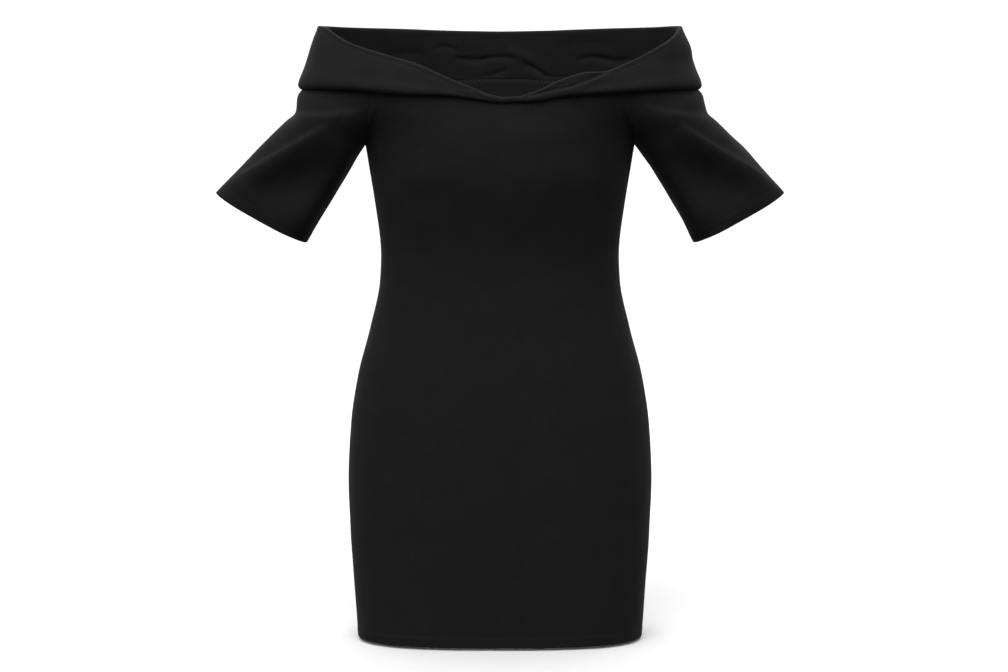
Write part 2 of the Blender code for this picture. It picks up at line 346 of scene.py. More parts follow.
@dataclass(frozen=True)
class KnitFinish:
    """Matte black double knit: a smooth face, faint wales, a short fuzz that lightens the edges."""

    name: str
    colour: tuple[float, float, float] = (0.0080, 0.0080, 0.0086)
    fleck: float = 0.09
    fleck_stops: tuple[float, float] = (0.36, 0.66)
    roughness: float = 0.80
    specular: float = 0.05
    sheen: float = 0.030
    sheen_roughness: float = 0.42
    sheen_tint: tuple[float, float, float] = (1.0, 1.0, 1.0)
    mottle: float = 38.0
    streak: tuple[float, float, float] = (520.0, 14.0, 1.0)
    streak_share: float = 0.35
    felt: float = 900.0
    wale: float = 0.00095
    course: float = 0.0013
    course_share: float = 0.35
    stitch_swing: float = 0.37
    stitch_relief: float = 0.00006
    felt_relief: float = 0.00010

    def material(self) -> bpy.types.Material:
        """Builds the knit's nodes on the cloth's own map.

        Returns:
            The material.
        """
        made, tree, shader = started(self.name)
        fill(shader, {"Roughness": self.roughness, "Specular IOR Level": self.specular,
                      "Sheen Weight": self.sheen, "Sheen Roughness": self.sheen_roughness,
                      "Sheen Tint": (*self.sheen_tint, 1.0)})
        place = add(tree, "ShaderNodeUVMap", uv_map=CLOTH_MAP)
        mottle = self._noise(tree, place, self.mottle, 4.0)
        streak = self._noise(tree, place, self.streak, 2.0)
        felt = self._noise(tree, place, self.felt, 3.0)
        shades = add(tree, "ShaderNodeMix", {"Factor": self.streak_share})
        tones = add(tree, "ShaderNodeValToRGB")
        for k, share in enumerate((1 - self.fleck, 1 + self.fleck)):
            stop = tones.color_ramp.elements[k]
            stop.position = self.fleck_stops[k]
            stop.color = (*(value * share for value in self.colour), 1.0)
        stitches = self._stitch_height(tree, place)
        fine = add(tree, "ShaderNodeBump", {"Strength": 1.0, "Distance": self.stitch_relief})
        coarse = add(tree, "ShaderNodeBump", {"Strength": 1.0, "Distance": self.felt_relief})
        wire(tree, (mottle, "Fac", shades, "A"), (streak, "Fac", shades, "B"),
             (shades, "Result", tones, "Fac"), (tones, "Color", shader, "Base Color"),
             (stitches, "Value", fine, "Height"), (felt, "Fac", coarse, "Height"),
             (fine, "Normal", coarse, "Normal"), (coarse, "Normal", shader, "Normal"))
        return made

    @staticmethod
    def _noise(tree: bpy.types.NodeTree, place: bpy.types.Node, scale: float | tuple,
               detail: float) -> bpy.types.Node:
        """A noise on the cloth's map.

        Args:
            tree: the material's nodes.
            place: the node that gives the cloth's map.
            scale: cycles for each metre, or one number for each axis.
            detail: the noise's detail.

        Returns:
            The noise node.
        """
        scales = scale if isinstance(scale, tuple) else (scale,) * 3
        size = add(tree, "ShaderNodeMapping", {"Scale": scales})
        noise = add(tree, "ShaderNodeTexNoise", {"Scale": 1.0, "Detail": detail})
        wire(tree, (place, "UV", size, "Vector"), (size, "Vector", noise, "Vector"))
        return noise

    def _stitch_height(self, tree: bpy.types.NodeTree, place: bpy.types.Node) -> bpy.types.Node:
        """The height of the knit's stitches: wales along the cloth, broken by its courses.

        Args:
            tree: the material's nodes.
            place: the node that gives the cloth's map.

        Returns:
            The node whose value is the height, from 0 to 1.
        """
        parts = add(tree, "ShaderNodeSeparateXYZ")
        wire(tree, (place, "UV", parts, "Vector"))
        waves = []
        for axis, size in (("X", self.wale), ("Y", self.course)):
            turn = add(tree, "ShaderNodeMath", {1: 2 * math.pi / size}, operation="MULTIPLY")
            wave = add(tree, "ShaderNodeMath", operation="SINE")
            wire(tree, (parts, axis, turn, 0), (turn, "Value", wave, 0))
            waves.append(wave)
        across = add(tree, "ShaderNodeMath", {1: self.course_share}, operation="MULTIPLY_ADD")
        height = add(tree, "ShaderNodeMath", {1: self.stitch_swing, 2: 0.5}, operation="MULTIPLY_ADD")
        wire(tree, (waves[1], "Value", across, 0), (waves[0], "Value", across, 2), (across, "Value", height, 0))
        return height


@dataclass(frozen=True)
class ThreadFinish:
    """Black polyester sewing thread, a little smoother than the knit."""

    name: str
    colour: tuple[float, float, float] = (0.010, 0.010, 0.011)
    roughness: float = 0.5
    specular: float = 0.3
    twist: float = 2600.0
    twist_relief: float = 0.00005

    def material(self) -> bpy.types.Material:
        """Builds the thread's nodes, with a fine twist in the bump.

        Returns:
            The material.
        """
        made, tree, shader = started(self.name)
        fill(shader, {"Base Color": (*self.colour, 1.0), "Roughness": self.roughness,
                      "Specular IOR Level": self.specular})
        place = add(tree, "ShaderNodeTexCoord")
        twist = add(tree, "ShaderNodeTexNoise", {"Scale": self.twist})
        bump = add(tree, "ShaderNodeBump", {"Distance": self.twist_relief})
        wire(tree, (place, "Object", twist, "Vector"), (twist, "Fac", bump, "Height"),
             (bump, "Normal", shader, "Normal"))
        return made


def clustered(count: int, power: float) -> np.ndarray:
    """Places from -1 to 1 that lie closer together towards both ends."""
    even = np.linspace(-1.0, 1.0, count + 1)
    return np.sign(even) * (1 - (1 - np.abs(even)) ** power)


def grid_normals(grid: np.ndarray, closed: bool, inside: np.ndarray) -> np.ndarray:
    """The unit normals of a grid of points, pointing away from the places inside it.

    Args:
        grid: rows by columns of points.
        closed: whether the last column meets the first.
        inside: places inside the form, that the grid's shape can be matched with.

    Returns:
        A normal for each point.
    """
    along = np.gradient(grid, axis=0)
    if closed:
        across = np.roll(grid, -1, axis=1) - np.roll(grid, 1, axis=1)
    else:
        across = np.gradient(grid, axis=1)
    normals = unit(np.cross(across, along))
    turned = np.sum(normals * (grid - inside), axis=(-1, -2, -3)) < 0
    return -normals if turned else normals


def rim(middle: np.ndarray, heading: np.ndarray, face: np.ndarray, thick: np.ndarray) -> list[np.ndarray]:
    """The rounded edge of a wall, from its outer face to its inner one.

    Args:
        middle: the last row of points between the two faces.
        heading: the unit directions in which the wall ends.
        face: the outward normals of that row.
        thick: the wall's thickness at that row.

    Returns:
        Rows of points round the edge.
    """
    steps = 4
    rows = []
    for k in range(1, steps):
        angle = math.pi * k / steps
        rows.append(middle + (face * math.cos(angle) + heading * math.sin(angle)) * thick[:, None] / 2)
    return rows


def cloth_mesh(name: str, outer: np.ndarray, normals: np.ndarray, thick: np.ndarray,
               closed: bool) -> bpy.types.Object:
    """Makes a thin closed shell from the grid of its outer face, with rounded first and last rows.

    Args:
        name: the piece's name.
        outer: rows by columns of points on the outer face.
        normals: the outward normal at each point.
        thick: the cloth's thickness at each point.
        closed: whether the last column meets the first, as round a tube.

    Returns:
        The piece, with a map in metres named for the cloth.
    """
    height, columns = outer.shape[:2]
    inner = outer - normals * thick[..., None]
    middle = (outer + inner) / 2
    low = rim(middle[-1], unit(middle[-1] - middle[-2]), normals[-1], thick[-1])
    high = rim(middle[0], unit(middle[0] - middle[1]), normals[0], thick[0])
    loop = np.concatenate([outer, low, inner[::-1], high[::-1]])
    rows = len(loop)
    steps_down = np.linalg.norm(loop - np.roll(loop, 1, axis=0), axis=-1).mean(axis=1)
    steps_across = np.linalg.norm(outer - np.roll(outer, 1, axis=1), axis=-1).mean(axis=0)
    across = np.concatenate([[0.0], np.cumsum(steps_across[1:]), [steps_across.sum()]])
    down = np.concatenate([[0.0], np.cumsum(steps_down[1:]), [steps_down.sum()]])
    faces, places = [], []
    for i in range(rows):
        k = (i + 1) % rows
        for j in range(columns if closed else columns - 1):
            m = (j + 1) % columns
            faces.append((i * columns + j, i * columns + m, k * columns + m, k * columns + j))
            left, right = across[j], across[j + 1]
            places.extend(((left, down[i]), (right, down[i]), (right, down[i + 1]), (left, down[i + 1])))
    if not closed:
        crest = len(low) // 2
        order = [row % rows for row in range(height + crest, -crest - 2, -1)]
        pairs = [(2 * height + len(low) - 1 - row) % rows for row in order]
        for column in (0, columns - 1):
            for corners in zip(order[:-1], order[1:], pairs[1:], pairs[:-1]):
                ring = list(dict.fromkeys(corners))
                faces.append(tuple(row * columns + column for row in ring))
                places.extend((across[column], down[min(row, height)]) for row in ring)
    mesh = bpy.data.meshes.new(name)
    mesh.from_pydata(loop.reshape(-1, 3).tolist(), [], faces)
    layer = mesh.uv_layers.new(name=CLOTH_MAP)
    layer.data.foreach_set("uv", np.array(places, dtype=np.float32).ravel())
    work = bmesh.new()
    work.from_mesh(mesh)
    bmesh.ops.recalc_face_normals(work, faces=work.faces)
    work.to_mesh(mesh)
    work.free()
    mesh.shade_smooth()
    return placed(name, mesh)


def line_at(grid: np.ndarray, away: np.ndarray, distance: float) -> np.ndarray:
    """The line across a grid that keeps one distance from its last row.

    Args:
        grid: rows by columns of points.
        away: each point's distance from the last row.
        distance: the distance to keep.

    Returns:
        A point for each column.
    """
    return np.array([[np.interp(distance, away[::-1, j], grid[::-1, j, axis]) for axis in range(3)]
                     for j in range(grid.shape[1])])


def turned_hem(away: np.ndarray, turn: float) -> np.ndarray:
    """Where the cloth is double because its edge is turned in.

    Args:
        away: the places' distance from the edge.
        turn: how far the edge is turned in.

    Returns:
        1 within the turned edge, 0 above it.
    """
    return 1 - ease((away - turn + HEM_LEDGE_RUN / 2) / HEM_LEDGE_RUN)


@dataclass
class BodyForm:
    """The outer face of the body from the neckline seam to the hem, and the seams that lie on it."""

    hem: float = -0.6440
    underarm: float = -0.0700
    neck_front: float = -0.0235
    neck_back: float = 0.0105
    neck_rounding: float = 1.4
    armhole_top_reach: float = 0.1464
    armhole_base_reach: float = 0.1570
    armhole_rounding: float = 2.5
    bust_fullness: float = 0.004
    bust_height: float = -0.095
    bust_turn: float = math.radians(31)
    bust_spread: float = 0.045
    bust_spread_turn: float = math.radians(22)
    sections: tuple[Section, ...] = (
        Section(-0.6600, 0.1645, 0.0985, 0.1030, 2.75),
        Section(-0.6440, 0.1662, 0.0995, 0.1045, 2.75),
        Section(-0.5910, 0.1702, 0.1030, 0.1110, 2.60),
        Section(-0.5210, 0.1752, 0.1068, 0.1180, 2.45),
        Section(-0.4600, 0.1775, 0.1090, 0.1225, 2.35),
        Section(-0.3955, 0.1744, 0.1080, 0.1200, 2.30),
        Section(-0.3393, 0.1661, 0.1045, 0.1100, 2.25),
        Section(-0.2830, 0.1515, 0.0980, 0.0960, 2.20),
        Section(-0.2270, 0.1399, 0.0950, 0.0865, 2.20),
        Section(-0.1990, 0.1387, 0.0972, 0.0855, 2.20),
        Section(-0.1357, 0.1457, 0.1100, 0.0930, 2.25),
        Section(-0.0950, 0.1526, 0.1190, 0.0985, 2.30),
        Section(-0.0700, 0.1570, 0.1170, 0.1010, 2.30),
        Section(-0.0450, 0.1850, 0.1110, 0.1020, 2.40),
        Section(-0.0200, 0.2090, 0.1060, 0.1010, 2.50),
        Section(0.0000, 0.2225, 0.1030, 0.1000, 2.50),
        Section(0.0120, 0.2240, 0.1020, 0.0990, 2.50),
    )
    columns: dict[str, SmoothColumn] = field(init=False)
    corners: dict[Half, float] = field(init=False)

    def __post_init__(self) -> None:
        """Reads the sections and finds where the armholes meet the neckline seam."""
        self.columns = {name: SmoothColumn(self.sections, name) for name in Section._fields[1:]}
        self.corners = {half: self._corner(half) for half in Half}

    def point(self, turn: np.ndarray, height: np.ndarray) -> np.ndarray:
        """Points of the outer face.

        Args:
            turn: the angles from the centre front towards +X, in radians.
            height: the heights.

        Returns:
            The points, with a last axis of three.
        """
        turn, height = (np.asarray(value, dtype=float) for value in np.broadcast_arrays(turn, height))
        power = self.columns["fullness"](height)
        width = self.columns["half_width"](height)
        front = np.cos(turn) > 0
        depth = np.where(front, self.columns["front"](height), self.columns["back"](height))
        across = np.abs(np.sin(turn) / width) ** power
        along = np.abs(np.cos(turn) / depth) ** power
        up = (height - self.bust_height) / self.bust_spread
        around = (np.abs(turn) - self.bust_turn) / self.bust_spread_turn
        full = np.where(front, self.bust_fullness * np.exp(-up * up - around * around), 0.0)
        reach = (across + along) ** (-1 / power) + full
        return np.stack([reach * np.sin(turn), -reach * np.cos(turn), height], axis=-1)

    def seam_height(self, turn: np.ndarray) -> np.ndarray:
        """The heights of the neckline seam at some turns."""
        rise = np.where(np.cos(turn) > 0, self.neck_front, self.neck_back)
        return rise * np.abs(np.cos(turn)) ** self.neck_rounding

    def armhole_turn(self, height: np.ndarray, half: Half) -> np.ndarray:
        """The turns at which a half ends at +X.

        Args:
            height: the heights, at the underarm or above it.
            half: the front or the back.

        Returns:
            The turns of the armhole's edge.
        """
        way = np.clip((np.asarray(height) - self.underarm) / -self.underarm, 0.0, 1.0)
        spread = self.armhole_base_reach - self.armhole_top_reach
        reach = self.armhole_top_reach + spread * (1 - way) ** self.armhole_rounding
        power = self.columns["fullness"](height)
        share = np.minimum(reach / self.columns["half_width"](height), 1.0)
        depth = self.columns[half.value](height) * (1 - share ** power) ** (1 / power)
        turn = np.arctan2(reach, depth)
        return turn if half is Half.FRONT else math.pi - turn

    def _corner(self, half: Half) -> float:
        """The turn at which the armhole meets the neckline seam."""
        turn = float(self.armhole_turn(0.0, half))
        for _ in range(8):
            turn = float(self.armhole_turn(self.seam_height(turn), half))
        return turn

    def armhole_point(self, way: np.ndarray, half: Half) -> np.ndarray:
        """Points of the armhole at +X, from the underarm at 0 to the neckline at 1."""
        top = self.seam_height(self.corners[half])
        height = self.underarm + way * (top - self.underarm)
        return self.point(self.armhole_turn(height, half), height)

    def neckline(self, turn: np.ndarray) -> np.ndarray:
        """Points of the neckline seam."""
        return self.point(turn, self.seam_height(turn))

    def neckline_out(self, turn: np.ndarray) -> np.ndarray:
        """The level directions straight out of the neckline seam."""
        step = 0.001
        run = self.neckline(turn + step) - self.neckline(turn - step)
        return unit(np.stack([run[..., 1], -run[..., 0], np.zeros_like(run[..., 0])], axis=-1))


@dataclass
class Panel:
    """The front or the back, cut in one from the neckline seam to the turned hem."""

    form: BodyForm
    half: Half
    creases: tuple[Crease, ...] = ()
    lumps: tuple[SoftLumps, ...] = ()
    cloth: float = CLOTH
    turned: float = 0.0008
    seam_lap: float = 0.0002
    seam_lap_spread: float = 0.002
    seam_depth: float = 0.0002
    armhole_lap: float = 0.0010
    armhole_fade: float = 0.004
    underarm_lap: float = 0.0022
    underarm_reach: float = 0.005
    armhole_sink: float = 0.0003
    hem_ledge: float = 0.00030
    overlock_clear: float = 0.00025
    overlock_drops: tuple[float, float] = (0.0010, 0.0066)
    rounding_reach: float = 0.036
    rounding_side: float = 0.07
    rounding_passes: int = 260
    gather: float = 1.45
    hem_start: float = 1.957
    across: int = 120
    yoke_rows: int = 30
    skirt_rows: int = 130
    hem_rows: int = 24
    hem_line: np.ndarray = field(init=False)
    neck_band: tuple[np.ndarray, np.ndarray] = field(init=False)

    def rows(self) -> np.ndarray:
        """The rows' places: 0 at the neckline, 1 at the underarm and 2 at the hem."""
        skirt = np.linspace(1.0, self.hem_start, self.skirt_rows)
        hem = np.linspace(self.hem_start, 2.0, self.hem_rows)[1:]
        return np.concatenate([np.linspace(0.0, 1.0, self.yoke_rows, endpoint=False), skirt, hem])

    def grid(self) -> np.ndarray:
        """The outer face's points before the creases."""
        form, front = self.form, self.half is Half.FRONT
        column = clustered(self.across, self.gather)
        corner = form.corners[self.half] if front else math.pi - form.corners[self.half]
        middle = 0.0 if front else math.pi
        rows = []
        for row in self.rows():
            if row >= 1:
                height = form.underarm + (row - 1) * (form.hem + self.cloth - form.underarm)
                turn = column * math.pi / 2
            else:
                top = form.seam_height(middle + column * corner) - (self.cloth - self.seam_lap) / 2
                height = form.underarm + (1 - row) * (top - form.underarm)
                edge = float(form.armhole_turn(height[-1], self.half))
                turn = column * (edge if front else math.pi - edge)
            rows.append(form.point(turn if front else math.pi - turn, height))
        return self.eased(np.array(rows))

    def eased(self, grid: np.ndarray) -> np.ndarray:
        """Rounds the form off near the underarm, where the body's sections widen quickly."""
        level = grid[..., :2].copy()
        up = grid[..., 2]
        weight = np.exp(-((up[1:-1] - self.form.underarm) / self.rounding_reach) ** 2)
        inwards = 1 - np.abs(clustered(self.across, self.gather))
        weight = (weight * ease(inwards / self.rounding_side))[..., None]
        below = ((up[:-2] - up[1:-1]) / np.maximum(up[:-2] - up[2:], 1e-9))[..., None]
        for _ in range(self.rounding_passes):
            even = level[:-2] * (1 - below) + level[2:] * below
            level[1:-1] += weight * 0.5 * (even - level[1:-1])
        return np.concatenate([level, up[..., None]], axis=-1)

    def build(self, name: str) -> bpy.types.Object:
        """Makes the panel.

        Args:
            name: the piece's name.

        Returns:
            The piece.
        """
        grid = self.grid()
        axis = np.zeros_like(grid)
        axis[..., 2] = grid[..., 2]
        normals = grid_normals(grid, False, axis)
        steps = np.linalg.norm(np.diff(grid, axis=1), axis=-1)
        start = np.concatenate([np.zeros((len(grid), 1)), np.cumsum(steps, axis=1)], axis=1)
        edge = np.minimum(start, start[:, -1:] - start)
        neck = np.linalg.norm(grid - grid[:1], axis=-1)
        relief = crease_relief(self.creases, grid[..., 0], grid[..., 2])
        for lumps in self.lumps:
            relief = relief + lumps.relief(start - start[:, -1:] / 2, grid[..., 2])
        relief = relief * ease(np.minimum(edge, neck) / SEAM_CALM)
        relief = relief - self.seam_depth * np.exp(-(edge / SEAM_SPREAD) ** 2)
        double = turned_hem(grid[..., 2] - self.form.hem, HEM_TURN)
        relief = relief + self.hem_ledge * double
        grid = grid + normals * relief[..., None]
        side = self.seam_lap / 2 * (1 if self.half is Half.FRONT else -1)
        grid[:, :, 1] += side * np.exp(-(edge / self.seam_lap_spread) ** 2)
        normals = grid_normals(grid, False, axis)
        up = grid[:, 0, 2] - self.form.underarm
        lap = (self.armhole_lap + self.underarm_lap * np.exp(-(up / self.underarm_reach) ** 2))[:, None]
        high = ease(1 + up / self.armhole_fade)[:, None]
        for last, before in ((0, 1), (-1, -2)):
            heading = unit(grid[:, last] - grid[:, before])
            grid[:, last] += high * (heading * lap - normals[:, last] * self.armhole_sink)
        away = grid[..., 2] - self.form.hem
        self.hem_line = line_at(grid + normals * STITCH_LIFT, away, HEM_TURN + STITCH_CLEAR)
        inner = grid - normals * (self.cloth + self.overlock_clear)
        inside, drop = inner[:self.yoke_rows][::-1], neck[:self.yoke_rows][::-1]
        self.neck_band = tuple(line_at(inside, drop, distance) for distance in self.overlock_drops)
        return cloth_mesh(name, grid, normals, self.cloth + self.turned * double, closed=False)


@dataclass
class Sleeve:
    """A short flared sleeve: one tube from the armhole and the neckline to its turned hem."""

    form: BodyForm
    side: Side
    bow: float
    creases: tuple[Crease, ...]
    folds: tuple[Fold, ...]
    back_creases: tuple[Crease, ...]
    back_folds: tuple[Fold, ...]
    lumps: SoftLumps
    cloth: float = CLOTH
    turned: float = 0.0008
    head_fade: float = 0.62
    flatness: float = 1.0
    flat_from: float = 0.5
    flat_squeeze: float = 0.06
    hem_sag: float = 0.003
    crease_side: float = 1.3
    crease_head: float = 0.11
    seam_lap: float = 0.0006
    seam_lap_spread: float = 0.004
    seam_depth: float = 0.0002
    hem_ledge: float = 0.00025
    around: int = 184
    row_runs: tuple[tuple[float, float, int], ...] = ((0.0, 0.10, 16), (0.10, 0.9, 62), (0.9, 0.995, 18))
    rings: tuple[Ring, ...] = (
        Ring(0.00, 0.2225, 0.0000, 0.1570, -0.0700, 0.0880),
        Ring(0.12, 0.2340, -0.0140, 0.1662, -0.0848, 0.0820),
        Ring(0.24, 0.2372, -0.0330, 0.1750, -0.0990, 0.0750),
        Ring(0.34, 0.2465, -0.0425, 0.1815, -0.1102, 0.0690),
        Ring(0.60, 0.2795, -0.0745, 0.1988, -0.1392, 0.0560),
        Ring(1.00, 0.3300, -0.1260, 0.2262, -0.1840, 0.0460),
    )
    columns: dict[str, SmoothColumn] = field(init=False)
    hem_line: np.ndarray = field(init=False)

    def __post_init__(self) -> None:
        """Reads the rings."""
        self.columns = {name: SmoothColumn(self.rings, name) for name in Ring._fields[1:]}

    def ring(self, around: np.ndarray, way: np.ndarray) -> np.ndarray:
        """Points of the sleeve's ovals at +X, before the head's own shape is given to them."""
        around, way = np.broadcast_arrays(around, way)
        zero = np.zeros_like(way)
        outer = np.stack([self.columns["outer_x"](way), zero, self.columns["outer_z"](way)], axis=-1)
        inner = np.stack([self.columns["inner_x"](way), zero, self.columns["inner_z"](way)], axis=-1)
        angle = (math.pi / 2 + 2 * math.pi * around)[..., None]
        below = ease(way / self.flat_from)[..., None]
        power = 2 / (2 + self.flatness * below)
        across = np.sign(np.cos(angle)) * np.abs(np.cos(angle)) ** power
        forward = np.sign(np.sin(angle)) * np.abs(np.sin(angle)) ** power
        depth = self.columns["half_depth"](way)[..., None] * (1 - self.flat_squeeze * below)
        sag = self.hem_sag * ease(way)[..., None] * np.sin(angle) ** 2
        run = outer - inner
        down = unit(np.stack([run[..., 2], zero, -run[..., 0]], axis=-1))
        level = np.concatenate([zero[..., None], depth * forward, zero[..., None]], axis=-1)
        return (outer + inner) / 2 + run / 2 * across - level + down * sag

    def head(self, around: np.ndarray) -> np.ndarray:
        """The sleeve's top edge at +X: down the front armhole, up the back one, along the neckline."""
        form = self.form
        front = form.armhole_point(np.clip(1 - around / 0.25, 0, 1), Half.FRONT)
        back = form.armhole_point(np.clip(around / 0.25 - 1, 0, 1), Half.BACK)
        reach = form.corners[Half.FRONT] - form.corners[Half.BACK]
        neck = form.neckline(form.corners[Half.BACK] + reach * np.clip(around / 0.5 - 1, 0, 1))
        around = around[..., None]
        return np.where(around <= 0.25, front, np.where(around <= 0.5, back, neck))

    def grid(self) -> tuple[np.ndarray, np.ndarray]:
        """The outer face's points at +X, with the creases.

        Returns:
            The points, and where each lies round the sleeve.
        """
        around = np.arange(self.around) / self.around
        way = np.concatenate([np.linspace(*run)[min(k, 1):] for k, run in enumerate(self.row_runs)])
        a, w = np.meshgrid(around, way)
        fade = (np.maximum(0.0, 1 - w / self.head_fade) ** 2)[..., None]
        head = self.head(around)
        grid = self.ring(a, w) + (head - self.ring(around, np.zeros_like(around)))[None] * fade
        facing = -np.sin(math.pi / 2 + 2 * math.pi * a)
        strength = ease(np.abs(facing) * self.crease_side) * ease(w / self.crease_head)
        x, z = grid[..., 0], grid[..., 2]
        front = crease_relief(self.creases, x, z) + fold_relief(self.folds, x, z)
        back = crease_relief(self.back_creases, x, z) + fold_relief(self.back_folds, x, z)
        grid[..., 1] += np.sign(facing) * np.where(facing < 0, front, back) * strength
        grid[..., 0] += self.bow * np.sin(math.pi * w)
        return grid, a

    def build(self, name: str) -> bpy.types.Object:
        """Makes the sleeve.

        Args:
            name: the piece's name.

        Returns:
            The piece.
        """
        grid, a = self.grid()
        centre = np.broadcast_to(grid.mean(axis=1, keepdims=True), grid.shape)
        normals = grid_normals(grid, True, centre)
        start = np.linalg.norm(grid - grid[:1], axis=-1)
        girth = np.cumsum(np.linalg.norm(np.roll(grid, -1, axis=1) - grid, axis=-1), axis=1)
        relief = self.lumps.relief(girth, start) * ease(start / SEAM_CALM)
        relief = relief - self.seam_depth * np.exp(-(start / SEAM_SPREAD) ** 2) * (a <= 0.5)
        double = turned_hem(np.linalg.norm(grid - grid[-1:], axis=-1), HEM_TURN)
        grid = grid + normals * (relief + self.hem_ledge * double)[..., None]
        outwards = unit(grid[1] - grid[0])
        clear = (self.cloth - self.seam_lap) / 2
        grid = grid + outwards[None] * (clear * np.exp(-(start / self.seam_lap_spread) ** 2))[..., None]
        normals = grid_normals(grid, True, centre)
        grid[..., 0] *= self.side.value
        normals[..., 0] *= self.side.value
        away = np.linalg.norm(grid - grid[-1:], axis=-1)
        self.hem_line = line_at(grid + normals * STITCH_LIFT, away, HEM_TURN + STITCH_CLEAR)
        return cloth_mesh(name, grid, normals, self.cloth + self.turned * double, closed=True)


